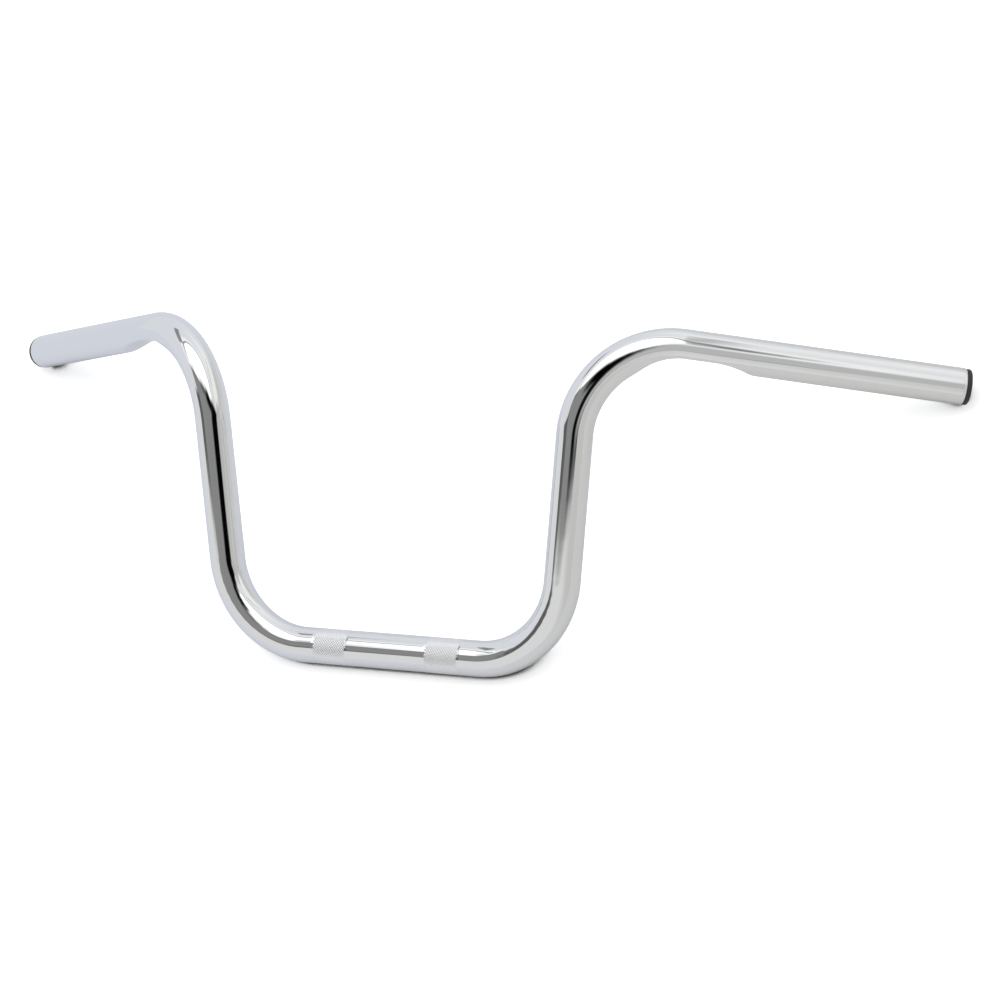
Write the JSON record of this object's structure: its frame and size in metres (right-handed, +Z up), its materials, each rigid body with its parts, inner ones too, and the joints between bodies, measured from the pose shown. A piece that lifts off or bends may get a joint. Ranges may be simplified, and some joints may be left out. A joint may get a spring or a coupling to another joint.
{
  "type": "ape hanger handlebar",
  "caption": "Chromed bent-tube handlebar with tall leaning risers, swept-back grips, knurled clamp bands, cable dimples and black end plugs.",
  "frame": {"origin": "on the floor, under the middle of the bar's bounding box; the bar lies as it rests, on its clamp bands and end plugs", "axes": "+X along the base tube towards the right grip, +Y from the base towards the grips, +Z up from the floor"},
  "size_m": [0.768, 0.2542, 0.1328],
  "materials": {
    "chromed_tube": "polished chrome plating on steel tube",
    "black_plug": "satin black moulded plastic"
  },
  "bodies": {
    "root": {"handlebar_tube": "chromed_tube", "left_end_plug": "black_plug", "right_end_plug": "black_plug"}
  },
  "joints": []
}
